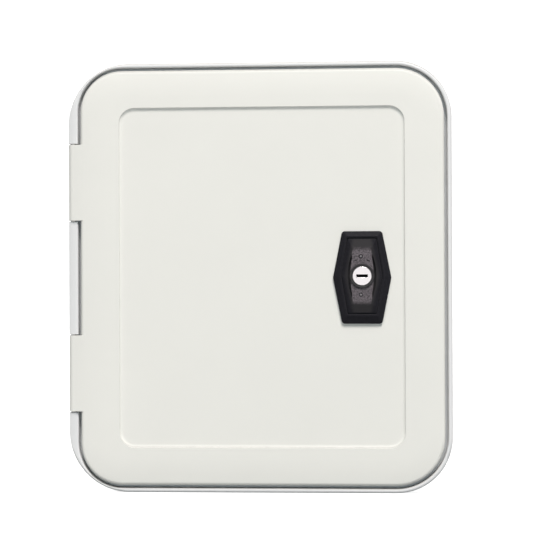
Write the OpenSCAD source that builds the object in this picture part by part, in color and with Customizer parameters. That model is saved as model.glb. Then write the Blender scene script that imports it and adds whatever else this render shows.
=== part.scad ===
// Storage hatch door for a caravan or camper. A moulded frame is screwed over a cut-out in the
// side wall, and a foam-filled door swings on two hinge pins and is held by a keyed cam lock.
// Every piece is drawn lying on its back with the outside of the vehicle upwards: x runs across
// the hatch, y runs up it, and z is the depth out from the wall. upright() then stands it up.

/* [Frame] */
// Overall width of the frame
frame_w = 332.6; // [270:0.2:420]
// Overall height of the frame
frame_h = 372.6; // [300:0.2:480]
// How far the lip round the door stands out from the wall
lip_h = 13.5; // [11:0.1:17]
// Thickness of the lip
lip_t = 3.9; // [2:0.1:4.6]
// Radius along the outer edge of the lip
lip_outer_round = 2.2; // [1:0.1:2.4]
// Radius along the inner edge of the lip
lip_inner_round = 1.4; // [0.4:0.1:1.8]
// Thickness of the flange that lies on the wall
flange_t = 3; // [2.4:0.1:4]
// How far the flange covers the wall round the cut-out
flange_cover = 23.3; // [20:0.1:28]
// Corner radius of the frame on the hinge side
frame_hinge_corner = 53; // [48:1:54]
// How far the collar reaches into the wall
collar_l = 25; // [22:1:40]
// Thickness of the collar
collar_t = 2.5; // [2:0.1:4]
// Corner radius of the wall cut-out
cutout_corner = 22; // [12:1:35]
// Space between the collar and the wall cut-out
cutout_clear = 0.5; // [0.2:0.1:1.5]
// Radius of the screw holes in the flange
screw_hole_r = 2.1; // [1.6:0.1:2.6]
// Radius of the screw heads' countersinks
screw_head_r = 4; // [3:0.1:4.5]
// Distance of the screw holes from the frame's outline
screw_inset = 14.8; // [13.8:0.1:16]
// Distance between the screws along the top and bottom edges
screw_pitch_x = 200; // [100:1:220]
// Distance between the screws along the two sides
screw_pitch_y = 200; // [100:1:220]
// Distance of the wall gasket from the frame's outline
gasket_inset = 4.8; // [3:0.1:5.4]
// Width of the wall gasket's groove
gasket_w = 5; // [4:0.1:6]
// Depth of the wall gasket's groove
gasket_t = 1.2; // [0.8:0.1:1.6]

/* [Hinge] */
// Width of the hinge strip of the frame
strip_w = 8.2; // [6.3:0.1:9.2]
// How far the face of the strip falls towards its outer edge
strip_drop = 1.2; // [0.6:0.1:1.6]
// Length of each hinge tab of the door
tab_l = 66; // [40:1:80]
// Distance from the end of the frame to the outer end of a tab
tab_inset = 70.3; // [62:0.1:90]
// Gap between a tab and the strip at either end
tab_gap = 1; // [0.6:0.1:2]
// Thickness of a tab where it crosses to the door
tab_web = 4.4; // [3.5:0.1:5]
// Diameter of the hinge pins
pin_d = 3; // [2.5:0.1:3.6]
// Length of pin held in the strip beyond each end of a tab
pin_grip = 12; // [8:1:14]
// Clearance round a pin, on the radius
pin_clear = 0.05; // [0.02:0.01:0.1]

/* [Door] */
// Gap between the door and the lip
door_gap = 2.6; // [2:0.1:5]
// How far the front of the door stands out beyond the lip
door_proud = 3.5; // [3:0.1:5]
// Corner radius of the door on the hinge side
door_hinge_corner = 36; // [34:1:40]
// Corner radius of the door on the lock side
door_lock_corner = 42; // [36:1:46]
// Thickness of the door's moulded skin
skin_t = 3; // [2:0.1:4]
// Width of the crowned band round the door's edge
crown_w = 22; // [16:1:26]
// Radius of the crown across that band
crown_r = 180; // [150:1:400]
// Radius of the door's front edge
edge_r = 3; // [1:0.1:3.4]
// Distance of the sunk field from the door's two side edges
field_inset_x = 34; // [30:0.5:50]
// Distance of the sunk field from the door's top and bottom edges
field_inset_y = 32.5; // [30:0.5:50]
// Depth of the sunk field
field_depth = 1.8; // [1:0.1:2.4]
// Width of the hollow slope round the sunk field
field_slope = 2.6; // [2:0.1:4]
// Corner radius of the sunk field
field_corner = 13.5; // [8:0.5:30]
// Thickness of the inner liner
liner_t = 2; // [1.5:0.1:3]
// How far the liner's tray reaches into the opening
tray_l = 3; // [2.8:0.1:4]
// Space between the liner's tray and the frame's collar
tray_clear = 9; // [6:0.5:14]
// Corner radius of the liner's tray
tray_corner = 16; // [10:1:30]
// Distance between neighbouring screws up each side of the liner
liner_screw_pitch = 94; // [60:1:110]
// Distance of the liner's screws from the edge of its tray
liner_screw_inset = 9; // [8:0.5:12]
// Length of the stiffening beads up the liner
bead_l = 196; // [120:1:220]
// How far the beads stand out from the liner
bead_h = 1.2; // [0.6:0.1:1.8]
// Distance from one bead to the next
bead_pitch = 42; // [34:1:44]
// Height of the door's seal
seal_h = 2.5; // [2:0.1:3]
// Width of the door's seal
seal_w = 5; // [4.5:0.1:6]
// Gap between the closed door and its seal
seal_gap = 0.3; // [0.1:0.1:0.5]

/* [Lock] */
// Distance of the lock from the frame's outline on the lock side
lock_inset = 77.3; // [72:0.1:86]
// How far the middle of the housing lies below the middle of the frame
lock_drop = 0.5; // [0:0.1:2]
// Width of the hexagonal housing across its side corners
housing_w = 50; // [46:1:56]
// Height of the hexagonal housing
housing_h = 79.6; // [76:0.1:90]
// Length of the housing's top and bottom edges
housing_edge = 33; // [30:1:38]
// Height of the key's axis above the middle of the housing
key_rise = 1.4; // [0:0.1:2]
// How far the housing's rim stands out from the sunk field
housing_rim = 5; // [4.5:0.1:6]
// Height of the upright wall below the rim's slope
housing_wall = 2; // [1.4:0.1:2.6]
// Width of the slope from that wall up to the rim's crest
rim_slope = 5.4; // [4:0.1:6]
// Width of the whole rim, crest included
rim_w = 6.7; // [6.2:0.1:7.4]
// Width of the groove inside the rim
groove_w = 1.3; // [0.8:0.1:1.6]
// Depth of that groove below the rim's crest
groove_depth = 1.3; // [0.6:0.1:1.8]
// Width of the flat top of the grip bar
grip_w = 17.6; // [16:0.2:20]
// Length of the flat top of the grip bar
grip_l = 48; // [44:0.5:52]
// How far the grip bar stands out from the sunk field
grip_rise = 6.6; // [6.2:0.1:8]
// Length of the finger hollow on either side of the grip bar
hollow_l = 38; // [34:1:42]
// Width of the finger hollow at its middle
hollow_w = 3.6; // [3:0.1:4.5]
// Distance of the housing's screws from the key's axis
housing_screw_y = 27; // [25:0.5:28]
// Radius of the key cylinder's face
key_r = 8.2; // [6.8:0.1:9.9]
// Width of the round collar about the key cylinder's face
key_collar_w = 2.4; // [2:0.1:3]
// How far the key cylinder's face stands out from the grip bar
key_proud = 1.5; // [1.3:0.1:2]
// Length of the key slot
key_slot_l = 10; // [8:0.1:12]
// Width of the key slot
key_slot_w = 2.6; // [2:0.1:3]
// Radius of the lock barrel that passes through the door
barrel_r = 8.4; // [8:0.1:10.1]
// Radius of the part of the key plug that turns in the barrel
plug_r = 6.2; // [5.6:0.1:6.6]
// Width across the flats of the lock's nut
nut_across = 24; // [22:1:28]
// Length of the cam from the key's axis to its tip
cam_l = 47; // [44:0.5:49]
// Width of the cam
cam_w = 12; // [10:0.5:14]
// Thickness of the cam
cam_t = 2.5; // [2:0.1:4]
// Side of the square that drives the cam
cam_drive = 7; // [5:0.1:8]

/* [Keeper] */
// Height of the keeper
keeper_w = 40; // [36:1:60]
// Thickness of the keeper's bent plate
keeper_t = 3; // [2:0.1:4]
// How far the keeper reaches out over the opening
keeper_reach = 10; // [8:0.5:12]
// Inside radius of the keeper's bend
keeper_bend = 2; // [1:0.1:3]
// Gap between the cam and the keeper when locked
cam_gap = 0.6; // [0.3:0.1:1.5]

/* [Hidden] */
$fn = 72;
// How far a cutter or a joined piece reaches into its neighbour
over = 1;
eps = 0.01;
// Clearance between pieces that are fitted together but don't turn
fit = 0.1;
// Clearance between a piece and the hollow that it lies in
slack = 0.2;
through = 60;

// An outline is [left, right, bottom, top, corner radius on the left, corner radius on the right].
half_w = frame_w / 2;
half_h = frame_h / 2;
door_left = -half_w + strip_w + door_gap;
door_right = half_w - lip_t - door_gap;
door_top = half_h - lip_t - door_gap;
door_outline = [door_left, door_right, -door_top, door_top, door_hinge_corner, door_lock_corner];
pocket_outline = grown(door_outline, door_gap);
frame_outline = [
    -half_w, half_w, -half_h, half_h, frame_hinge_corner, door_lock_corner + door_gap + lip_t
];
collar_x = half_w - flange_cover - cutout_clear;
collar_y = half_h - flange_cover - cutout_clear;
collar_outline = [-collar_x, collar_x, -collar_y, collar_y, cutout_corner, cutout_corner];
opening_outline = grown(collar_outline, -collar_t);
field_outline = [
    door_left + field_inset_x, door_right - field_inset_x, -door_top + field_inset_y,
    door_top - field_inset_y, field_corner, field_corner
];
tray_x = collar_x - collar_t - tray_clear;
tray_y = collar_y - collar_t - tray_clear;
tray_outline = [-tray_x, tray_x, -tray_y, tray_y, tray_corner, tray_corner];
seal_inset = 1.5;
seal_outline = grown(opening_outline, seal_w + seal_inset);

hinge_x = -half_w + strip_w / 2;
hinge_r = strip_w / 2;
hinge_sink = 0.4;
hinge_z = lip_h - hinge_r - hinge_sink;
tab_y = half_h - tab_inset - tab_l / 2;
pin_l = tab_l + 2 * tab_gap + 2 * pin_grip;

door_front = lip_h + door_proud;
seal_top = flange_t + seal_h;
door_back = seal_top + seal_gap;
liner_top = door_back + liner_t;
field_z = door_front - field_depth;
skin_inside = field_z - skin_t;
tray_floor = -tray_l + liner_t;

lock_x = half_w - lock_inset;
key_y = key_rise - lock_drop;
housing_gasket_t = 0.6;
barrel_head_t = 0.8;
nut_t = 3;
nut_back = -tray_l - nut_t;
cam_space = 1;
cam_front = nut_back - cam_space;
cam_back = cam_front - cam_t;
key_collar_r = key_r + key_collar_w;
key_face = grip_rise + key_proud;
// The ring round the key is stepped: below the grip bar's top it is this much smaller
collar_step = 1.6;
collar_seat_r = key_collar_r - collar_step;
collar_seat = housing_gasket_t + barrel_head_t + slack;

keeper_front = cam_front + cam_gap + keeper_t;
keeper_leg = 14;
keeper_screw_y = 13;
keeper_screw_drop = 11;
post_r = 3.8;

// A screw is [shank radius, head radius, head height, length below the head].
keeper_screw = [1.45, 3, 1.6, keeper_t];
liner_screw = [1.6, 3.4, 1.8, 12];
housing_screw = [1.35, 3.6, 2.2, field_z + tray_l + housing_rim - 2];
cam_fixing = [1.35, 4, 2.4, 6];

function grown(o, by) = [o[0] - by, o[1] + by, o[2] - by, o[3] + by, o[4] + by, o[5] + by];
// The door's crown is an arc. A circle of radius r that touches it from inside, with its centre at
// a distance u in from the door's edge, touches it this many degrees off the top of that circle
function lean(r, u) = asin((crown_w - u) / (crown_r - r));
// Height of that circle's centre
function touch_z(r, u) = door_front - crown_r + (crown_r - r) * cos(lean(r, u));

module upright() {
    rotate([90, 0, 0]) children();
}

module rounded(o) {
    w = o[1] - o[0];
    h = o[3] - o[2];
    translate([o[0], o[2]]) difference() {
        square([w, h]);
        for (c = [[0, 0, o[4], 0], [w, 0, o[5], 90], [w, h, o[5], 180], [0, h, o[4], 270]])
            translate([c[0], c[1]]) rotate(c[3]) difference() {
                translate([-over, -over]) square(c[2] + over);
                translate([c[2], c[2]]) circle(c[2]);
            }
    }
}

module plate(o, z0, z1) {
    translate([0, 0, z0]) linear_extrude(z1 - z0) rounded(o);
}

// Sweeps a profile round an outline: profile x is the distance in from the outline, profile y is z
module swept(o) {
    w = o[1] - o[0];
    h = o[3] - o[2];
    translate([o[0], o[2], 0]) {
        run([o[4], 0], 0, w - o[4] - o[5]) children();
        run([w, o[5]], 90, h - 2 * o[5]) children();
        run([w - o[5], h], 180, w - o[4] - o[5]) children();
        run([0, h - o[4]], 270, h - 2 * o[4]) children();
        turn([o[4], o[4]], 180, o[4]) children();
        turn([w - o[5], o[5]], 270, o[5]) children();
        turn([w - o[5], h - o[5]], 0, o[5]) children();
        turn([o[4], h - o[4]], 90, o[4]) children();
    }
}

module run(p, a, l) {
    translate([p[0], p[1], 0]) rotate([0, 0, a]) rotate([90, 0, 90]) linear_extrude(l) children();
}

module turn(p, a, r) {
    translate([p[0], p[1], 0]) rotate([0, 0, a])
        rotate_extrude(angle = 90) translate([r, 0]) mirror([1, 0]) children();
}

// Section of what a round of radius r takes off an outer edge whose top is at z
module outer_round(r, z) {
    difference() {
        translate([-over, z - r]) square(r + over);
        translate([r, z - r]) circle(r);
    }
}

// The same for the inner edge of a wall that lies outside the outline
module inner_round(r, z) {
    mirror([1, 0]) outer_round(r, z);
}

// Places a section drawn in x and z along the height of the hatch, from y0 up by l
module upwards(y0, l) {
    translate([0, y0 + l, 0]) rotate([90, 0, 0]) linear_extrude(l) children();
}

module outer_frame() {
    color("#e8e5e0") upright() difference() {
        union() {
            difference() {
                plate(frame_outline, 0, lip_h);
                plate(pocket_outline, flange_t, lip_h + over);
                swept(frame_outline) outer_round(lip_outer_round, lip_h);
                swept(pocket_outline) inner_round(lip_inner_round, lip_h);
                strip_fall();
            }
            difference() {
                plate(collar_outline, -collar_l, eps);
                mirror([0, 0, 1]) swept(collar_outline) outer_round(collar_t / 2, collar_l);
            }
        }
        plate(opening_outline, -collar_l - over, flange_t + over);
        gasket_groove();
        tab_slots();
        pin_bores(pin_d / 2 + pin_clear / 2, pin_l);
        screw_places() countersunk(screw_hole_r, screw_head_r, flange_t);
    }
}

// Takes the face of the hinge strip down in an arc towards its outer edge
module strip_fall() {
    w = strip_w - lip_inner_round;
    r = (w ^ 2 + strip_drop ^ 2) / (2 * strip_drop);
    sweep = 1.2 * asin(w / r);
    n = 10;
    upwards(-half_h - over, frame_h + 2 * over) translate([w - half_w, lip_h]) polygon(concat(
        [for (i = [0 : n]) let (a = sweep * i / n) [-r * sin(a), r * cos(a) - r]],
        [[-w - 2 * over, -2 * strip_drop], [-w - 2 * over, over], [0, over]]
    ));
}

module gasket_groove() {
    difference() {
        plate(grown(frame_outline, -gasket_inset), -over, gasket_t);
        plate(grown(frame_outline, -gasket_inset - gasket_w), -2 * over, gasket_t + over);
    }
}

module tab_slots() {
    l = tab_l + 2 * tab_gap;
    for (y = [-tab_y, tab_y])
        translate([-half_w - over, y - l / 2, flange_t]) cube([strip_w + 2 * over, l, lip_h]);
}

module pin_bores(r, l) {
    for (y = [-tab_y, tab_y]) translate([hinge_x, y - l / 2, hinge_z])
        rotate([-90, 0, 0]) cylinder(r = r, h = l);
}

// A screw hole through a plate, with a cone for the head at its upper face
module countersunk(hole_r, head_r, top) {
    depth = head_r - hole_r;
    translate([0, 0, -over]) cylinder(r = hole_r, h = top + 2 * over);
    translate([0, 0, top - depth]) cylinder(r1 = hole_r, r2 = head_r + over, h = depth + over);
}

module screw_places() {
    for (s = [-1, 1], t = [-1, 1]) {
        translate([s * screw_pitch_x / 2, t * (half_h - screw_inset), 0]) children();
        translate([s * (half_w - screw_inset), t * screw_pitch_y / 2, 0]) children();
    }
}

module wall_gasket() {
    ring = grown(frame_outline, -gasket_inset - fit);
    color("#3a3a3c") upright() difference() {
        plate(ring, 0, gasket_t - fit);
        plate(grown(ring, -gasket_w + 2 * fit), -over, gasket_t + over);
    }
}

// The seal is a bulb on a flat foot
module door_seal() {
    bulb_r = 1.6;
    foot_t = 0.9;
    color("#26282a") upright() swept(seal_outline) union() {
        translate([0, flange_t]) square([seal_w, foot_t]);
        intersection() {
            translate([seal_w / 2, seal_top - bulb_r]) circle(bulb_r);
            translate([0, flange_t]) square([seal_w, seal_h + over]);
        }
    }
}

module hinge_pin(y) {
    bevel = 0.5;
    r = pin_d / 2;
    color("silver") upright() translate([hinge_x, y, hinge_z]) rotate([-90, 0, 0])
        rotate_extrude() polygon([
            [0, -pin_l / 2], [r - bevel, -pin_l / 2], [r, bevel - pin_l / 2],
            [r, pin_l / 2 - bevel], [r - bevel, pin_l / 2], [0, pin_l / 2]
        ]);
}

// A bent plate: one leg is screwed to the collar, the other reaches over the opening
module keeper() {
    color("#d9d9d6") upright() difference() {
        upwards(key_y - keeper_w / 2, keeper_w) keeper_section();
        keeper_screw_places() hull() for (x = [-1, 1]) translate([x, 0, -over])
            cylinder(r = keeper_screw[0] + fit, h = keeper_t + 2 * over, $fn = 32);
    }
}

module keeper_section() {
    r = keeper_bend + keeper_t;
    wall_x = collar_x - collar_t;
    lead = 1;
    translate([wall_x, keeper_front]) difference() {
        union() {
            translate([-keeper_reach, -keeper_t]) square([keeper_reach - r, keeper_t]);
            translate([-keeper_t, -keeper_leg - keeper_t]) square([keeper_t, keeper_leg + keeper_t - r]);
            intersection() {
                translate([-r, -r]) circle(r);
                translate([-r, -r]) square(r);
            }
        }
        translate([-r, -r]) circle(keeper_bend);
        translate([-keeper_reach, -keeper_t]) rotate(45) square(lead * sqrt(2), center = true);
    }
}

module keeper_screw_places() {
    for (y = [-keeper_screw_y, keeper_screw_y])
        translate([collar_x - collar_t - keeper_t, key_y + y, keeper_front - keeper_screw_drop])
            rotate([0, 90, 0]) children();
}

module keeper_screws() {
    color("silver") upright() keeper_screw_places() pan_screw(keeper_screw);
}

// A screw along z, with its domed head and the cross recess in it below z = 0
module pan_screw(screw) {
    r = screw[0];
    head_r = screw[1];
    head_t = screw[2];
    l = screw[3];
    fall = 0.6 * head_t;
    dome_r = (head_r ^ 2 + fall ^ 2) / (2 * fall);
    difference() {
        rotate_extrude() {
            intersection() {
                translate([0, -head_t]) square([head_r, head_t]);
                translate([0, dome_r - head_t]) circle(dome_r, $fn = 180);
            }
            polygon([[0, -over], [r, -over], [r, l - r / 2], [r / 2, l], [0, l]]);
        }
        for (a = [0, 90]) rotate(a) translate([0, 0, -head_t])
            cube([1.2 * head_r, 0.26 * head_r, head_t], center = true);
    }
}

module door_form() {
    difference() {
        union() {
            plate(grown(door_outline, -crown_w + eps), liner_top, door_front);
            swept(door_outline) crown_section();
        }
        field_cut();
    }
}

module crown_disc() {
    translate([crown_w, door_front - crown_r]) circle(crown_r, $fn = 360);
}

// Section of the crowned band, with x running in from the door's edge
module crown_section() {
    z = touch_z(edge_r, edge_r);
    x = edge_r - edge_r * sin(lean(edge_r, edge_r));
    intersection() {
        translate([x, liner_top]) square([crown_w - x, crown_r]);
        crown_disc();
    }
    translate([edge_r, z]) circle(edge_r);
    translate([0, liner_top]) square([edge_r, z - liner_top]);
}

// The sunk field: a short steep step, then a hollow arc down to the flat
module field_cut() {
    step = 0.3;
    steep = 0.45 * field_depth;
    fall = field_depth - steep;
    r = (field_slope ^ 2 + fall ^ 2) / (2 * fall);
    top = door_front + over;
    plate(grown(field_outline, -step - field_slope), field_z, top);
    swept(field_outline) {
        polygon([[0, top], [0, door_front], [step, door_front - steep], [step, top]]);
        intersection() {
            translate([step - eps, field_z]) square([field_slope + 2 * eps, top - field_z]);
            translate([step + field_slope, field_z + r]) circle(r, $fn = 180);
        }
    }
}

// Section of a hinge tab: the crown runs on past the door's edge, rolls over and wraps the pin
module tab_section() {
    u = hinge_x - door_left;
    z = touch_z(hinge_r, u);
    x = u - hinge_r * sin(lean(hinge_r, u));
    root = edge_r + over;
    translate([door_left, 0]) {
        intersection() {
            translate([x, door_front - tab_web - door_proud / 2]) square([root - x, crown_r]);
            crown_disc();
        }
        translate([u, z]) circle(hinge_r);
        translate([u, hinge_z]) circle(hinge_r);
        translate([u - hinge_r, hinge_z]) square([2 * hinge_r, z - hinge_z]);
    }
}

module door_skin() {
    color("#e9e9e3") upright() difference() {
        union() {
            difference() {
                union() {
                    door_form();
                    for (y = [-tab_y, tab_y]) upwards(y - tab_l / 2, tab_l) tab_section();
                }
                plate(grown(door_outline, -skin_t), liner_top - over, skin_inside);
            }
            skin_posts();
        }
        pin_bores(pin_d / 2 + pin_clear, tab_l + 2 * over);
        lock_bores(barrel_r + slack);
        liner_screw_places()
            cylinder(r = liner_screw[0] + fit, h = skin_inside + tray_l - skin_t / 2);
    }
}

// Posts that the liner's screws bite into, and a stiffening ring round the lock
module skin_posts() {
    top = skin_inside + eps;
    liner_screw_places() translate([0, 0, liner_t]) cylinder(r = post_r, h = top - tray_floor);
    translate([lock_x, key_y, tray_floor]) difference() {
        cylinder(r = barrel_r + skin_t, h = top - tray_floor);
        translate([0, 0, -over]) cylinder(r = barrel_r + slack, h = top - tray_floor);
    }
}

module lock_bores(r) {
    key_place() cylinder(r = r, h = through, center = true);
    housing_screw_places() cylinder(r = housing_screw[0] + slack, h = through, center = true);
}

// The key's axis at the height of the sunk field
module key_place() {
    translate([lock_x, key_y, field_z]) children();
}

module housing_screw_places() {
    for (y = [-housing_screw_y, housing_screw_y]) key_place() translate([0, y, 0]) children();
}

module door_core() {
    color("#f1e7c6") upright() difference() {
        union() {
            plate(grown(door_outline, -skin_t - slack), liner_top, skin_inside - slack);
            plate(grown(tray_outline, -liner_t - slack), tray_floor, liner_top + eps);
        }
        lock_bores(barrel_r + skin_t + slack);
        liner_screw_places() cylinder(r = post_r + slack, h = through, center = true);
    }
}

module door_liner() {
    tray_round = 2.5;
    color("#dedfda") upright() difference() {
        union() {
            plate(grown(door_outline, -2 * fit), door_back, liner_top);
            difference() {
                plate(tray_outline, -tray_l, door_back + eps);
                mirror([0, 0, 1]) swept(tray_outline) outer_round(tray_round, tray_l);
            }
            liner_beads();
        }
        plate(grown(tray_outline, -liner_t), tray_floor, liner_top + over);
        lock_bores(barrel_r + slack);
        liner_screw_places() cylinder(r = liner_screw[0] + slack, h = through, center = true);
    }
}

// Upright half-round beads that stiffen the tray, on the hinge side of the lock
module liner_beads() {
    w = 7;
    r = (w ^ 2 / 4 + bead_h ^ 2) / (2 * bead_h);
    intersection() {
        for (i = [0 : 3]) translate([i * bead_pitch - 2.25 * bead_pitch, 0, r - tray_l - bead_h]) {
            rotate([90, 0, 0]) cylinder(r = r, h = bead_l, center = true);
            for (y = [-bead_l / 2, bead_l / 2]) translate([0, y, 0]) sphere(r);
        }
        plate(grown(tray_outline, -liner_screw_inset), -tray_l - bead_h, -tray_l + liner_t / 2);
    }
}

module liner_screw_places() {
    for (s = [-1, 1], t = [-1, 0, 1])
        translate([s * (tray_x - liner_screw_inset), t * liner_screw_pitch, -tray_l]) children();
}

module liner_screws() {
    color("silver") upright() liner_screw_places() pan_screw(liner_screw);
}

// Corners of the housing's hexagon, drawn in by inset
function hexagon(inset) =
    let (x = housing_w / 2 - inset, y = housing_h / 2 - inset, e = housing_edge / 2 - 0.6 * inset)
    [[x, 0], [e, y], [-e, y], [-x, 0], [-e, -y], [e, -y]];

// Discs of radius r in the corners of that hexagon, for a hull to join
module hex_corners(inset, r, z0, z1) {
    for (p = hexagon(inset + r)) translate([p[0], p[1], z0])
        cylinder(r = r, h = z1 - z0, $fn = 24);
}

module lock_gasket() {
    inset = 0.75;
    corner = 2.5;
    color("#1b1b1c") upright() difference() {
        key_place() translate([0, -key_rise, 0]) hull()
            hex_corners(inset, corner, 0, housing_gasket_t);
        lock_bores(barrel_r + slack);
    }
}

// A hexagonal rim that slopes up to its crest, then a groove, and inside it the grip bar
module lock_housing() {
    inner_corner = 1.2;
    floor = housing_rim - groove_depth;
    color("#2b2a2c") upright() difference() {
        key_place() {
            difference() {
                union() {
                    difference() {
                        housing_rim_form();
                        hull() hex_corners(rim_w, inner_corner, floor, housing_rim + over);
                    }
                    grip(inner_corner, floor);
                }
                for (s = [-1, 1]) finger_hollow(s);
            }
            translate([0, 0, housing_gasket_t])
                cylinder(r = key_collar_r - fit, h = grip_rise - housing_gasket_t);
        }
        key_place() cylinder(r = collar_seat_r, h = through, center = true);
        housing_screw_places() cylinder(r = housing_screw[0] + fit / 2, h = housing_rim - 1);
    }
}

// The rim's crest lies round the key's axis, and its foot round the middle of the housing
module housing_rim_form() {
    foot_corner = 3;
    crest_corner = 1.5;
    hull() {
        translate([0, -key_rise, 0])
            hex_corners(0, foot_corner, housing_gasket_t, housing_wall);
        hex_corners(rim_slope, crest_corner, housing_gasket_t, housing_rim);
    }
}

// The bar rises from a shoulder just below the rim's crest
module grip(corner, floor) {
    shoulder = 0.4;
    hull() {
        hex_corners(rim_w + groove_w, corner, floor - fit, housing_rim - shoulder);
        translate([-grip_w / 2, -grip_l / 2, floor - fit])
            cube([grip_w, grip_l, grip_rise - floor + fit]);
    }
}

// A crescent-shaped hollow along one side of the grip bar, which bulges a little into it
module finger_hollow(side) {
    chord = hollow_l / 2;
    bulge = 0.4 * hollow_w;
    bulge_chord = 0.8 * chord;
    mirror([side < 0 ? 1 : 0, 0, 0]) translate([grip_w / 2 - slack, 0, collar_seat])
        linear_extrude(grip_rise) difference() {
            intersection() {
                bow(chord, hollow_w);
                translate([0, -hollow_l]) square([hollow_w + over, 2 * hollow_l]);
            }
            bow(bulge_chord, bulge);
        }
}

// A disc that stands out by rise over a chord along x = 0, half of whose length is given
module bow(half_chord, rise) {
    r = (half_chord ^ 2 + rise ^ 2) / (2 * rise);
    translate([rise - r, 0]) circle(r, $fn = 120);
}

// The ring round the key cylinder's face stands on the grip bar and lines the housing's hole
module lock_collar() {
    inner = key_r + slack;
    ring_t = key_proud - slack;
    bead = 0.8;
    dish = 0.3;
    color("#222224") upright() key_place() rotate_extrude() union() {
        translate([inner, collar_seat])
            square([collar_seat_r - fit - inner, grip_rise - collar_seat + eps]);
        translate([0, grip_rise]) intersection() {
            translate([inner, 0]) square([key_collar_r - inner, ring_t]);
            union() {
                square([key_collar_r - bead, ring_t - dish]);
                square([key_collar_r, ring_t - bead]);
                translate([key_collar_r - bead, ring_t - bead]) circle(bead);
            }
        }
    }
}

// A tube with two flats for the nut, and a head that lies on the gasket inside the housing
module lock_barrel() {
    top = housing_gasket_t + barrel_head_t;
    stub = 0.5;
    bottom = nut_back - stub - field_z;
    flat = 1.4;
    across = 2 * (barrel_r - flat);
    color("#8f9092") upright() key_place() difference() {
        union() {
            intersection() {
                translate([0, 0, bottom]) cylinder(r = barrel_r, h = top - bottom);
                translate([-across / 2, -barrel_r, bottom]) cube([across, 2 * barrel_r, top - bottom]);
            }
            translate([0, 0, housing_gasket_t]) cylinder(r = collar_seat_r - fit, h = barrel_head_t);
        }
        cylinder(r = plug_r + pin_clear, h = through, center = true);
    }
}

module lock_nut() {
    bevel = 0.6;
    color("#9a9b9d") upright() translate([lock_x, key_y, nut_back]) difference() {
        intersection() {
            cylinder(d = nut_across / cos(30), h = nut_t - fit / 2, $fn = 6);
            cylinder(r1 = nut_across / 2 + bevel / 2, r2 = nut_across, h = nut_across / 2 - bevel / 2);
        }
        translate([0, 0, -over]) cylinder(r = barrel_r + fit / 2, h = nut_t + 2 * over);
    }
}

module housing_screws() {
    color("silver") upright() housing_screw_places() translate([0, 0, -field_z - tray_l])
        pan_screw(housing_screw);
}

// A round face with a slot, a shaft that turns in the barrel, and a square for the cam
module key_plug() {
    bevel = 0.5;
    slot_depth = 6;
    bore_l = 8;
    color("#e6e6e8") upright() key_place() difference() {
        union() {
            rotate_extrude() polygon([
                [0, cam_front - field_z], [plug_r, cam_front - field_z], [plug_r, collar_seat],
                [key_r, collar_seat], [key_r, key_face - bevel], [key_r - bevel, key_face],
                [0, key_face]
            ]);
            translate([0, 0, cam_back - field_z]) cam_square(cam_drive, cam_t + over);
        }
        translate([-key_slot_l / 2, -key_slot_w / 2, key_face - slot_depth])
            cube([key_slot_l, key_slot_w, slot_depth + over]);
        translate([0, 0, cam_back - field_z - over]) cylinder(r = cam_fixing[0] + slack, h = bore_l);
    }
}

module cam_square(side, h) {
    translate([-side / 2, -side / 2, 0]) cube([side, side, h]);
}

// A flat cam with a round head about the key's axis and a rounded tip, hanging down when unlocked
module lock_cam() {
    tip_r = 4;
    head_r = 10;
    color("#b4b5b7") upright() translate([lock_x, key_y, cam_back]) difference() {
        linear_extrude(cam_t) {
            circle(head_r);
            translate([-cam_w / 2, tip_r - cam_l]) square([cam_w, cam_l - tip_r]);
            translate([tip_r - cam_w / 2, -cam_l]) square([cam_w - 2 * tip_r, tip_r]);
            for (s = [-1, 1]) translate([s * (cam_w / 2 - tip_r), tip_r - cam_l]) circle(tip_r);
        }
        translate([0, 0, -over]) cam_square(cam_drive + 2 * fit, cam_t + 2 * over);
    }
}

// The screw that holds the cam, with its washer
module cam_screw() {
    washer_t = 0.8;
    washer_r = 6.5;
    color("silver") upright() translate([lock_x, key_y, cam_back]) {
        translate([0, 0, -washer_t]) cylinder(r = washer_r, h = washer_t);
        translate([0, 0, eps - washer_t]) pan_screw(cam_fixing);
    }
}

outer_frame();
wall_gasket();
door_seal();
hinge_pin(tab_y);  // hinge_pin_upper
hinge_pin(-tab_y);  // hinge_pin_lower
keeper();
keeper_screws();
door_skin();
door_core();
door_liner();
liner_screws();
lock_gasket();
lock_housing();
lock_collar();
lock_barrel();
lock_nut();
housing_screws();
key_plug();
lock_cam();
cam_screw();
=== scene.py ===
import math

import bmesh
import bpy
from mathutils import Matrix, Vector


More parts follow.
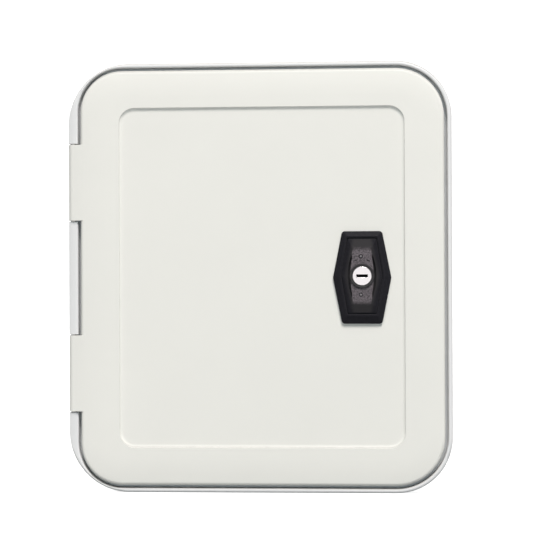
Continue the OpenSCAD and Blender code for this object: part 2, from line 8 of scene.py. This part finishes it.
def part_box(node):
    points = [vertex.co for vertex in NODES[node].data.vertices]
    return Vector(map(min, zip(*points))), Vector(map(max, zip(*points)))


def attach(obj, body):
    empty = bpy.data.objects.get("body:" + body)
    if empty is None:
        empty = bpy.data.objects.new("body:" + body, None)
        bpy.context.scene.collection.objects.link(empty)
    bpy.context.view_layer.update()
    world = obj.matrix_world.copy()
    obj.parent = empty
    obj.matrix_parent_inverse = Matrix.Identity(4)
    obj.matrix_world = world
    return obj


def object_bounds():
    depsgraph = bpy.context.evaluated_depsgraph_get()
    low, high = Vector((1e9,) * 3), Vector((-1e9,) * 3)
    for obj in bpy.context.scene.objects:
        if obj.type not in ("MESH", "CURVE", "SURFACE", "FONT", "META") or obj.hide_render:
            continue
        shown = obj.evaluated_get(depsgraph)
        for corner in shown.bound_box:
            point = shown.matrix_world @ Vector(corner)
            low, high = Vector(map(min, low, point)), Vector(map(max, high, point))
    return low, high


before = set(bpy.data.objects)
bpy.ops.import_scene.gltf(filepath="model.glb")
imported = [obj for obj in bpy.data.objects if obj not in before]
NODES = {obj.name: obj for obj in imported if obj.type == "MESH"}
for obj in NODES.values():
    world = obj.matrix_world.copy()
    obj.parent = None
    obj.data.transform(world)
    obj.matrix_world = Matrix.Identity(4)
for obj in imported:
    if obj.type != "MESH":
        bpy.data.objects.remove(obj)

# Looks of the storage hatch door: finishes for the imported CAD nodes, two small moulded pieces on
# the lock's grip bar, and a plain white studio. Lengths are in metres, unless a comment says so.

cad_low, cad_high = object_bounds()

MM = 0.001


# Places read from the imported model


def centre(node):
    low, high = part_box(node)
    return (low + high) / 2


def front(node):
    """How far out the node reaches: the outside of the vehicle is towards -Y."""
    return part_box(node)[0].y


KEY = centre("key_plug")
KEY_FACE = front("key_plug")
# The key cylinder's face stands this far out from the grip bar's top
KEY_PROUD = 1.5 * MM
GRIP_TOP = KEY_FACE + KEY_PROUD


# Colours, in linear light

DOOR_WHITE = (0.792, 0.777, 0.738)
FRAME_WHITE = (0.752, 0.745, 0.750)
LINER_WHITE = (0.70, 0.70, 0.675)
# Grey of the film on up-facing faces: dust, and painted shade
DUST_AND_SHADE_GREY = (0.45, 0.44, 0.42)
FOAM_CREAM = (0.86, 0.80, 0.62)
RUBBER_BLACK = (0.018, 0.018, 0.02)
RUBBER_BLOOM = (0.09, 0.09, 0.088)
LOCK_BLACK = (0.0135, 0.013, 0.016)
# Paler tone of the lock's edges: wear, and a painted highlight
LOCK_WEAR_AND_SHEEN = (0.06, 0.058, 0.062)
GRIP_BLACK = (0.034, 0.032, 0.034)
GRIP_GREY = (0.118, 0.103, 0.113)
# The collar's black is lighter than the housing's, partly as a painted highlight for the light its
# bead catches
RING_BLACK = (0.040, 0.038, 0.040)
# Pale dots: wear, and a painted highlight on the domes' tops
MARK_WEAR_AND_GLINT = (0.26, 0.25, 0.255)
ZINC = (0.45, 0.45, 0.46)
STEEL = (0.54, 0.53, 0.515)
CHROME = (0.88, 0.835, 0.85)
# Painted shade inside the key slot
SLOT_SHADE_BLACK = (0.012, 0.012, 0.014)
PAPER_GREY = (0.25, 0.25, 0.25)
SHADOW_GREY = (0.4, 0.4, 0.4)
WHITE = (1.0, 1.0, 1.0)
SKY_BLUE = (0.58, 0.86, 1.0)
KEY_WARM = (1.0, 0.965, 0.93)
FILL_COOL = (0.80, 0.96, 1.0)
BACK_WARM = (1.0, 0.98, 0.95)


def tinted(colour, factor):
    return tuple(c * factor for c in colour)


def rgba(colour):
    """A colour as a node's input takes it. A socket stays as it is."""
    return colour if isinstance(colour, bpy.types.NodeSocket) else (*colour, 1)


# Tools for node trees

# The Mix node has a socket of the same name for each type of value. These are the places of its
# share, of the two colours that go in, and of the colour that comes out
MIX_SHARE = 0
MIX_FIRST = 6
MIX_SECOND = 7
MIX_RESULT = 2


class Nodes:
    """A cleared node tree, and short ways to add nodes to it."""

    def __init__(self, tree):
        self.tree = tree
        self.tree.nodes.clear()

    def add(self, kind, inputs=None, **settings):
        """A new node. An input's value is a constant, or the socket that feeds it."""
        node = self.tree.nodes.new("ShaderNode" + kind)
        for name, value in settings.items():
            setattr(node, name, value)
        for name, value in (inputs or {}).items():
            socket = node.inputs[name]
            if isinstance(value, bpy.types.NodeSocket):
                self.tree.links.new(value, socket)
            else:
                socket.default_value = value
        return node

    def math(self, operation, *values):
        return self.add("Math", dict(enumerate(values)), operation=operation).outputs[0]

    def seen_rays(self):
        """1 for the rays that show the background: from the camera, in a mirror, through glass."""
        path = self.add("LightPath").outputs
        seen = self.math("MAXIMUM", path["Is Camera Ray"], path["Is Glossy Ray"])
        return self.math("MAXIMUM", seen, path["Is Transmission Ray"])

    def blend(self, share, first, second):
        """The first shader where share is 0, the second where it is 1."""
        inputs = {0: share, 1: first.outputs[0], 2: second.outputs[0]}
        return self.add("MixShader", inputs)

    def surface(self, kind, shader):
        """Ends the tree in a shader node, and kind says for what: Material or World."""
        self.add("Output" + kind, {"Surface": shader.outputs[0]})


class Finish(Nodes):
    """A node material. Sizes given to its texture calls are in millimetres on the object."""

    def __init__(self, name):
        self.material = bpy.data.materials.new(name)
        self.material.use_nodes = True
        super().__init__(self.material.node_tree)
        self.place = self.add("TexCoord").outputs["Object"]

    def axis(self, index, vector=None):
        """One part of a vector, or of the place on the object: 0 for X, 1 for Y, 2 for Z."""
        return self.add("SeparateXYZ", {"Vector": vector or self.place}).outputs[index]

    def stretched(self, scale):
        """Object coordinates stretched along the axes whose scale is small."""
        return self.add("Mapping", {"Vector": self.place, "Scale": scale}).outputs["Vector"]

    def noise(self, size, detail=2.0, rough=0.5, place=None):
        inputs = {"Vector": place or self.place, "Scale": 1 / (size * MM),
                  "Detail": detail, "Roughness": rough}
        return self.add("TexNoise", inputs).outputs["Fac"]

    def cells(self, size):
        inputs = {"Vector": self.place, "Scale": 1 / (size * MM)}
        return self.add("TexVoronoi", inputs, feature="F1").outputs["Distance"]

    def ramp(self, value, low, high, to_low=0.0, to_high=1.0):
        """value taken smoothly from low..high to to_low..to_high, and held beyond."""
        inputs = {"Value": value, "From Min": low, "From Max": high,
                  "To Min": to_low, "To Max": to_high}
        return self.add("MapRange", inputs, interpolation_type="SMOOTHSTEP").outputs["Result"]

    def mix(self, share, first, second):
        """first where share is 0, second where it is 1. Both are colours or sockets."""
        inputs = {MIX_SHARE: share, MIX_FIRST: rgba(first), MIX_SECOND: rgba(second)}
        node = self.add("Mix", inputs, data_type="RGBA", clamp_factor=True)
        return node.outputs[MIX_RESULT]

    def bump(self, height, depth, normal):
        """A bump on normal whose height of 0..1 stands for depth millimetres."""
        inputs = {"Height": height, "Distance": depth * MM, "Strength": 1.0, "Normal": normal}
        return self.add("Bump", inputs).outputs["Normal"]

    def plain_normal(self):
        return self.add("NewGeometry").outputs["Normal"]

    def soft_edges(self, radius):
        """Normals that round every sharp edge over that many millimetres."""
        return self.add("Bevel", {"Radius": radius * MM}, samples=6).outputs["Normal"]

    def edge_share(self, soft, low=0.995, high=0.8):
        """1 on a sharp edge and 0 away from it, from the normals that soft_edges gives. low and
        high are cosines of the angle between them and the plain normals."""
        near = self.add("VectorMath", {0: soft, 1: self.plain_normal()}, operation="DOT_PRODUCT")
        return self.ramp(near.outputs["Value"], low, high)

    def shade(self, colour, roughness, normal, **constants):
        """Ends the material in a Principled shader. Constants go by the socket's name."""
        inputs = {"Base Color": colour, "Roughness": roughness, "Normal": normal}
        shader = self.add("BsdfPrincipled", inputs)
        for name, value in constants.items():
            shader.inputs[name.replace("_", " ")].default_value = value
        self.surface("Material", shader)
        return self.material


# Node materials

def moulded(name, colour, rough, grain=0.5, grain_depth=0.004, spread=0.02, specular=0.5, dust_and_shade=0.0):
    """Injection-moulded plastic: slow flow ripples, a fine die grain, edges rubbed smoother than
    the faces, and a film of dust on what looks up, which is also painted shade that darkens
    up-facing faces under the strong top light. spread is the share by which the colour wanders,
    and dust_and_shade the largest share of it that the film hides."""
    flow_depth = 0.012
    worn_smoother = 0.25
    dust_rougher = 0.5
    f = Finish(name)
    soft = f.soft_edges(0.35)
    on_edges = f.edge_share(soft)
    flow = f.noise(6, detail=3)
    cloud = f.noise(70, detail=4, rough=0.6)
    grains = f.noise(grain, detail=2)
    shade = f.math("MULTIPLY_ADD", cloud, 2 * spread, 1 - spread)
    shade = f.math("MULTIPLY_ADD", f.math("SUBTRACT", grains, 0.5), spread, shade)
    base = f.add("VectorMath", {0: colour, "Scale": shade}, operation="SCALE").outputs["Vector"]
    uneven = f.ramp(f.noise(22, detail=5, rough=0.65), 0.3, 0.7, rough * 0.86, rough * 1.14)
    roughness = f.math("MULTIPLY_ADD", on_edges, -worn_smoother * rough, uneven)
    if dust_and_shade:
        # A grey film on what looks up: dust, and painted shade that darkens up-facing faces under the
        # strong top light
        up = f.axis(2, soft)
        patchy = f.ramp(f.noise(4, detail=5), 0.3, 0.8, 0.8 * dust_and_shade, dust_and_shade)
        settled_and_shaded = f.math("MULTIPLY", f.ramp(up, 0.2, 0.6), patchy)
        base = f.mix(settled_and_shaded, base, DUST_AND_SHADE_GREY)
        roughness = f.math("MULTIPLY_ADD", settled_and_shaded, dust_rougher, roughness)
    normal = f.bump(flow, flow_depth, soft)
    normal = f.bump(grains, grain_depth, normal)
    return f.shade(base, roughness, normal, Specular_IOR_Level=specular)


def brushed(name, colour, rough, along, mottle=0.06):
    """Metal with fine lines along one axis, a mottled plating and bright edges."""
    line_width = 0.12
    line_depth = 0.006
    line_stretch = 0.03
    f = Finish(name)
    soft = f.soft_edges(0.25)
    on_edges = f.edge_share(soft)
    scale = tuple(line_stretch if axis == along else 1.0 for axis in "xyz")
    lines = f.noise(line_width, detail=4, rough=0.6, place=f.stretched(scale))
    cloud = f.ramp(f.noise(7, detail=5, rough=0.6), 0.3, 0.75)
    dull = f.mix(cloud, colour, tinted(colour, 1 - 2.5 * mottle))
    base = f.mix(on_edges, dull, tinted(colour, 1.12))
    uneven = f.ramp(cloud, 0, 1, rough * 0.8, rough)
    roughness = f.math("MULTIPLY_ADD", lines, 0.3 * rough, uneven)
    return f.shade(base, roughness, f.bump(lines, line_depth, soft), Metallic=1.0)


def rubber(name):
    """Rubber with a bloom that greys it in patches."""
    bloom_share = 0.5
    f = Finish(name)
    soft = f.soft_edges(0.3)
    bloom = f.math("MULTIPLY", f.ramp(f.noise(3, detail=6, rough=0.7), 0.4, 0.8), bloom_share)
    base = f.mix(bloom, RUBBER_BLACK, RUBBER_BLOOM)
    rough = f.ramp(f.noise(9, detail=3), 0.3, 0.7, 0.62, 0.8)
    normal = f.bump(f.noise(0.35, detail=3), 0.02, soft)
    return f.shade(base, rough, normal, Specular_IOR_Level=0.35)


def foam(name):
    """Sawn polyurethane foam: open cells, with painted shade in their pits."""
    cell_size = 0.9
    cell_depth = 0.35
    f = Finish(name)
    cells = f.cells(cell_size)
    # Painted shade darkens the pits of the cells
    base = f.mix(f.ramp(cells, 0.2, 0.7), tinted(FOAM_CREAM, 0.7), FOAM_CREAM)
    normal = f.bump(cells, cell_depth, f.plain_normal())
    return f.shade(base, 0.9, normal, Specular_IOR_Level=0.2)


# The part inside the housing's rim is greyer. It ends between these distances from the key's axis,
# first square to the hexagon's slanted sides, then straight up and down
# Its slow fade, darker towards the groove across the flank that rises from it, is painted shade
INNER_ACROSS = (12 * MM, 16.6 * MM)
INNER_UP = (30.8 * MM, 32 * MM)
# X and Z shares of the direction square to those sides
SLANT_X = 0.98
SLANT_Z = 0.21
# Half the width and height of the grip bar's textured patch
PATCH_X = 10.8 * MM
PATCH_Z = 24 * MM
# How far the patch's ragged edges wander, and over what length they fade
PATCH_END_WANDER = 7 * MM
PATCH_END_FADE = 5 * MM
PATCH_SIDE_WANDER = 1.2 * MM
PATCH_SIDE_FADE = 0.6 * MM
# The patch is barrel-shaped: at a height of z metres each side comes in by this times z squared
PATCH_BARREL = 4.5
# Depths below the grip bar's top between which the patch fades out
PATCH_DEEP = 1.2 * MM
PATCH_SHALLOW = 0.6 * MM


def from_key(f):
    """How far right of the key's axis a place is, and how far above it."""
    return [f.math("SUBTRACT", f.axis(index), KEY[index]) for index in (0, 2)]


def inner_share(f, x, z):
    """1 inside the housing's rim. x and z are distances from the key's axis."""
    across = f.math("MULTIPLY_ADD", z, SLANT_Z, f.math("MULTIPLY", x, SLANT_X))
    return f.math("MULTIPLY", f.ramp(across, *INNER_ACROSS, 1, 0), f.ramp(z, *INNER_UP, 1, 0))


def patch_share(f, x, z):
    """1 on the textured patch of the grip bar's top."""
    ragged = f.noise(1.1, detail=5, rough=0.8)
    up = f.math("MULTIPLY_ADD", ragged, PATCH_END_WANDER, z)
    ends = f.ramp(up, PATCH_Z, PATCH_Z + PATCH_END_FADE, 1, 0)
    barrel = f.math("MULTIPLY_ADD", f.math("POWER", z, 2.0), PATCH_BARREL, x)
    across = f.math("MULTIPLY_ADD", ragged, PATCH_SIDE_WANDER, barrel)
    sides = f.ramp(across, PATCH_X - PATCH_SIDE_FADE, PATCH_X + PATCH_SIDE_FADE, 1, 0)
    out = f.ramp(f.axis(1), GRIP_TOP + PATCH_DEEP, GRIP_TOP + PATCH_SHALLOW)
    return f.math("MULTIPLY", f.math("MULTIPLY", ends, sides), out)


def lock_plastic(name, colour, grip=False):
    """Glass-filled black plastic with a spark-eroded face, rubbed smoother on its edges, and paler
    there from wear and from a painted highlight.
    With grip, it is greyer inside the rim, fading darker towards the rim's groove as painted
    shade, and the grip bar's top has a patch of coarse grey die texture."""
    fine_depth = 0.015
    coarse_depth = 0.12
    worn_smoother = 0.12
    wear_and_sheen_share = 0.4
    patch_rougher = 0.2
    f = Finish(name)
    soft = f.soft_edges(0.45)
    on_edges = f.edge_share(soft, low=0.999, high=0.965)
    base = f.mix(f.ramp(f.noise(2.5, detail=5, rough=0.7), 0.3, 0.75), colour, tinted(colour, 1.4))
    normal = f.bump(f.noise(0.3, detail=3, rough=0.7), fine_depth, soft)
    rough = f.ramp(f.noise(6, detail=4), 0.3, 0.7, 0.38, 0.46)
    rough = f.math("MULTIPLY_ADD", on_edges, -worn_smoother, rough)
    # Paler on the edges: wear, and a painted highlight along the rim's crest
    base = f.mix(f.math("MULTIPLY", on_edges, wear_and_sheen_share), base, LOCK_WEAR_AND_SHEEN)
    if grip:
        x, z = (f.math("ABSOLUTE", distance) for distance in from_key(f))
        # Greyer inside the rim, with painted shade where it fades darker towards the groove
        base = f.mix(inner_share(f, x, z), base, GRIP_BLACK)
        share = patch_share(f, x, z)
        speckle = f.ramp(f.noise(0.85, detail=3, rough=0.9), 0.36, 0.64)
        grey = f.mix(speckle, tinted(GRIP_GREY, 0.5), tinted(GRIP_GREY, 1.6))
        base = f.mix(share, base, grey)
        rough = f.math("MULTIPLY_ADD", share, patch_rougher, rough)
        normal = f.bump(f.math("MULTIPLY", f.cells(0.55), share), coarse_depth, normal)
    return f.shade(base, rough, normal, Specular_IOR_Level=0.04)


def chrome(name):
    """Plated key plug: polished, with the fine circular lines of turning, scuffs, and painted shade
    that makes the slot dark from just below its edge."""
    ring_width = 0.18
    ring_depth = 0.0012
    edge_depth = 0.2 * MM
    dark_depth = 0.7 * MM
    f = Finish(name)
    soft = f.soft_edges(0.2)
    x, z = from_key(f)
    radius = f.math("SQRT", f.math("ADD", f.math("POWER", x, 2.0), f.math("POWER", z, 2.0)))
    along_radius = f.add("CombineXYZ", {"X": radius}).outputs[0]
    rings = f.noise(ring_width, detail=3, rough=0.6, place=along_radius)
    slot_shade = f.ramp(f.axis(1), KEY_FACE + edge_depth, KEY_FACE + dark_depth)
    scuff = f.ramp(f.noise(1.6, detail=6, rough=0.75), 0.5, 0.72)
    base = f.mix(scuff, CHROME, tinted(CHROME, 0.93))
    # Painted shade: the slot's walls are dark below its edge
    base = f.mix(slot_shade, base, SLOT_SHADE_BLACK)
    rough = f.math("MAXIMUM", f.ramp(scuff, 0, 1, 0.10, 0.2), f.math("MULTIPLY", slot_shade, 0.6))
    return f.shade(base, rough, f.bump(rings, ring_depth, soft), Metallic=1.0)


# Finishes of the CAD nodes

skin = moulded("door_plastic", DOOR_WHITE, 0.42, specular=0.4, dust_and_shade=0.75)
rim = moulded("frame_plastic", FRAME_WHITE, 0.335, dust_and_shade=0.75)
liner = moulded("liner_plastic", LINER_WHITE, 0.55, grain=0.9, grain_depth=0.03, spread=0.03)
black_grip = lock_plastic("lock_grip", LOCK_BLACK, grip=True)
# The collar's lighter black stands partly as a painted highlight on its bead
black_ring = lock_plastic("lock_ring", RING_BLACK)
mark_dark = lock_plastic("lock_mark_ring", LOCK_BLACK)
# The dots are paler from wear and from a painted highlight on their tops
mark_wear_and_glint = lock_plastic("lock_mark_dot", MARK_WEAR_AND_GLINT)
seal = rubber("seal_rubber")
steel = brushed("stainless", STEEL, 0.32, "z")
zinc = brushed("lock_zinc", ZINC, 0.42, "x", mottle=0.09)

FINISHES = {
    "outer_frame": rim,
    "wall_gasket": seal,
    "door_seal": seal,
    "hinge_pin_upper": steel,
    "hinge_pin_lower": steel,
    "keeper": steel,
    "keeper_screws": steel,
    "door_skin": skin,
    "door_core": foam("foam"),
    "door_liner": liner,
    "liner_screws": steel,
    "lock_gasket": seal,
    "lock_housing": black_grip,
    "lock_collar": black_ring,
    "lock_barrel": zinc,
    "lock_nut": zinc,
    "housing_screws": steel,
    "key_plug": chrome("chrome"),
    "lock_cam": zinc,
    "cam_screw": steel,
}
for name, material in FINISHES.items():
    NODES[name].data.materials.clear()
    NODES[name].data.materials.append(material)


# Moulded marks on the grip bar, which show the key's two places

# The middle of the marks lies this far left of the key's axis, and this far above and below it
MARK_LEFT = 1 * MM
MARK_RISES = (16.8 * MM, -16.2 * MM)
MARK_PLACES = [Vector((KEY.x - MARK_LEFT, 0, KEY.z + rise)) for rise in MARK_RISES]
RING_RADIUS = 1.5 * MM
RING_BEAD = 0.3 * MM
RING_SINK = 0.05 * MM
# A dot is a bead round so small a circle that it closes into a dome
DOT_RADIUS = 0.36 * MM
DOT_BEAD = 0.4 * MM
# The two short arcs run about the key's axis. Their middles are in degrees from the right
ARC_RADIUS = 14.4 * MM
ARC_BEAD = 0.26 * MM
ARC_MIDDLES = (68, 113)
ARC_HALF_SPAN = 6


def mesh_piece(name, build, material, body):
    """A piece whose mesh build(bm) makes in the row frame."""
    bm = bmesh.new()
    build(bm)
    bmesh.ops.recalc_face_normals(bm, faces=bm.faces)
    mesh = bpy.data.meshes.new(name)
    bm.to_mesh(mesh)
    bm.free()
    mesh.shade_smooth()
    piece = bpy.data.objects.new(name, mesh)
    bpy.context.scene.collection.objects.link(piece)
    mesh.materials.append(material)
    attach(piece, body)


def bead_row(bm, place, side, radius, sink):
    """Half a circle of vertices across a bead. Its centre lies sink below the grip bar's top."""
    steps = 8
    row = []
    for k in range(steps + 1):
        a = math.pi * k / steps
        out = radius * math.cos(a)
        rise = radius * math.sin(a)
        point = (place[0] + side.x * out, GRIP_TOP + sink - rise, place[1] + side.y * out)
        row.append(bm.verts.new(point))
    return row


def bead(bm, points, radius, sink=0.0, closed=False):
    """A half-round bead along points on the grip bar's top: (x, z) pairs."""
    rows = []
    count = len(points)
    for i, place in enumerate(points):
        before = points[i - 1] if closed or i else points[0]
        after = points[(i + 1) % count] if closed or i < count - 1 else points[-1]
        along = Vector((after[0] - before[0], after[1] - before[1])).normalized()
        rows.append(bead_row(bm, place, Vector((along.y, -along.x)), radius, sink))
    for i in range(count if closed else count - 1):
        one = rows[i]
        two = rows[(i + 1) % count]
        for k in range(len(one)):
            n = (k + 1) % len(one)
            bm.faces.new((one[k], one[n], two[n], two[k]))
    if not closed:
        bm.faces.new(rows[0])
        bm.faces.new(rows[-1])


def circle(x, z, radius, count):
    """Points round a circle: (x, z) pairs."""
    angles = [2 * math.pi * i / count for i in range(count)]
    return [(x + radius * math.cos(a), z + radius * math.sin(a)) for a in angles]


def arc(x, z, radius, start, end, count):
    """Points along an arc from start to end, in degrees: (x, z) pairs."""
    angles = [math.radians(start + (end - start) * i / (count - 1)) for i in range(count)]
    return [(x + radius * math.cos(a), z + radius * math.sin(a)) for a in angles]


def mark_rings(bm):
    """A ring at each of the key's places, and two short arcs by the upper one."""
    for p in MARK_PLACES:
        bead(bm, circle(p.x, p.z, RING_RADIUS, count=32), RING_BEAD, RING_SINK, closed=True)
    for middle in ARC_MIDDLES:
        start = middle - ARC_HALF_SPAN
        end = middle + ARC_HALF_SPAN
        bead(bm, arc(KEY.x, KEY.z, ARC_RADIUS, start, end, count=14), ARC_BEAD)


def mark_dots(bm):
    """A small dome in each ring, paler than the grip: rubbed, and a painted highlight on its top."""
    for p in MARK_PLACES:
        bead(bm, circle(p.x, p.z, DOT_RADIUS, count=16), DOT_BEAD, closed=True)


mesh_piece("mark_rings", mark_rings, mark_dark, "door")
mesh_piece("mark_dots", mark_dots, mark_wear_and_glint, "door")


# Studio

FLOOR_Z = cad_low.z
SWEEP_HALF_W = 6.0
SWEEP_FRONT = -6.0
SWEEP_TOP = 5.0
# The floor's smooth shading eases into the bend from this place in front of the object
EASE_START = -1.0
# The floor bends up into the backdrop along an arc that starts this far behind the object
BEND_START = 1.6
BEND_RADIUS = 0.8
BEND_STEPS = 9
# The floor's own glow, which lifts what the camera sees of it to white
PAPER_LIFT = 0.85


def stage_mesh():
    """A floor that curves up into a backdrop far behind the object."""
    angles = [math.radians(90 * i / BEND_STEPS) for i in range(1, BEND_STEPS + 1)]
    profile = [(SWEEP_FRONT, 0.0), (EASE_START, 0.0), (BEND_START, 0.0)]
    profile += [(BEND_START + BEND_RADIUS * math.sin(a), BEND_RADIUS - BEND_RADIUS * math.cos(a))
                for a in angles]
    profile.append((BEND_START + BEND_RADIUS, SWEEP_TOP))
    bm = bmesh.new()
    left = [bm.verts.new((-SWEEP_HALF_W, y, FLOOR_Z + z)) for y, z in profile]
    right = [bm.verts.new((SWEEP_HALF_W, y, FLOOR_Z + z)) for y, z in profile]
    for i in range(len(profile) - 1):
        bm.faces.new((left[i], right[i], right[i + 1], left[i + 1]))
    mesh = bpy.data.meshes.new("studio_sweep")
    bm.to_mesh(mesh)
    bm.free()
    mesh.shade_smooth()
    floor = bpy.data.objects.new("studio_sweep", mesh)
    bpy.context.scene.collection.objects.link(floor)
    return floor


def sweep_material():
    """White to the camera, with the object's shadow left in it, and grey paper to other rays."""
    f = Finish("studio_paper")
    paper = f.add("BsdfDiffuse", {"Color": rgba(PAPER_GREY)})
    shadow = f.add("BsdfDiffuse", {"Color": rgba(SHADOW_GREY)})
    lift = f.add("Emission", {"Color": rgba(WHITE), "Strength": PAPER_LIFT})
    white = f.add("AddShader", {0: shadow.outputs[0], 1: lift.outputs[0]})
    f.surface("Material", f.blend(f.seen_rays(), paper, white))
    return f.material


def world_light(colour, strength):
    """An even surround that lights the object and shows white to the camera."""
    world = bpy.data.worlds.new("studio")
    bpy.context.scene.world = world
    world.use_nodes = True
    w = Nodes(world.node_tree)
    light = w.add("Background", {"Color": rgba(colour), "Strength": strength})
    shown = w.add("Background", {"Color": rgba(WHITE), "Strength": 1.0})
    w.surface("World", w.blend(w.seen_rays(), light, shown))


def area_light(name, place, size, watts, colour):
    """A rectangular lamp that is aimed at the origin."""
    data = bpy.data.lights.new(name, "AREA")
    data.shape = "RECTANGLE"
    data.size, data.size_y = size
    data.energy = watts
    data.color = colour
    lamp = bpy.data.objects.new(name, data)
    bpy.context.scene.collection.objects.link(lamp)
    lamp.location = place
    lamp.rotation_mode = "QUATERNION"
    lamp.rotation_quaternion = (-Vector(place)).to_track_quat("-Z", "Y")
    return lamp


stage_mesh().data.materials.append(sweep_material())
world_light(SKY_BLUE, strength=0.11)
area_light("key_light", place=(1.10, -4.40, 6.59), size=(3.8, 3.4), watts=830, colour=KEY_WARM)
fill = area_light("fill_light", place=(0.35, -2.4, -0.12), size=(0.6, 0.3), watts=13, colour=FILL_COOL)
# The fill lies on the camera's side, and its mirror image would be a spot on the door
fill.visible_glossy = False
area_light("back_light", place=(-0.85, 1.25, 1.05), size=(1.4, 1.2), watts=34, colour=BACK_WARM)


# Camera: the photograph's view

TARGET = Vector((0.0054, 0.0, 0.0094))
DISTANCE = 1.6
YAW = math.radians(4.1517)
PITCH = math.radians(-0.3752)
ROLL = math.radians(-0.226)
LENS = 123.97
SENSOR = 36.0


def add_camera():
    """A camera that looks at TARGET. Yaw turns it towards +X, and pitch lifts it."""
    level = Vector((math.sin(YAW), -math.cos(YAW), 0)) * math.cos(PITCH)
    back = level + Vector((0, 0, math.sin(PITCH)))
    right = (-back).cross(Vector((0, 0, 1))).normalized()
    up = right.cross(-back)
    c = math.cos(ROLL)
    s = math.sin(ROLL)
    axes = (right * c + up * s, up * c - right * s, back)
    data = bpy.data.cameras.new("camera")
    data.lens = LENS
    data.sensor_width = SENSOR
    camera = bpy.data.objects.new("camera", data)
    bpy.context.scene.collection.objects.link(camera)
    turn = Matrix(axes).transposed().to_4x4()
    camera.matrix_world = Matrix.Translation(TARGET + back * DISTANCE) @ turn
    bpy.context.scene.camera = camera


add_camera()
bpy.context.scene.view_settings.view_transform = "Standard"
